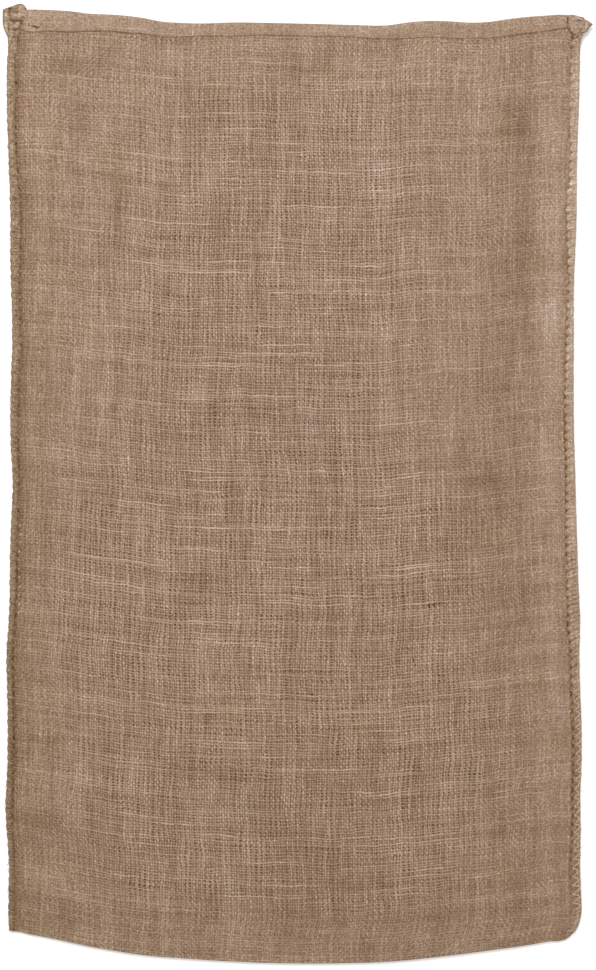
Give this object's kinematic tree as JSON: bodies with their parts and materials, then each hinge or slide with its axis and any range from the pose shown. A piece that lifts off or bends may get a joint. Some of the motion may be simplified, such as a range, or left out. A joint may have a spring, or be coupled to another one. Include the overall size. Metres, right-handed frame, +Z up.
{
  "type": "jute sack",
  "caption": "Empty open-mouthed sack of coarse woven jute, lying flat on its back, hemmed at the mouth, folded at the bottom and sewn up both sides with twine.",
  "frame": {"origin": "on the flat underside of the sack's back, at the middle of its width and length", "axes": "+Y runs up the sack from the folded bottom to the open mouth, +X across it from the left seam to the right seam as seen from the front, +Z up, out of the front"},
  "size_m": [0.6228, 1.0119, 0.0163],
  "materials": {
    "jute_cloth": "matt coarse open plain weave with a double warp",
    "jute_twine": "matt two-ply twisted twine"
  },
  "bodies": {
    "root": {"cloth": "jute_cloth", "seam_twine_left": "jute_twine", "seam_twine_right": "jute_twine"}
  },
  "joints": []
}
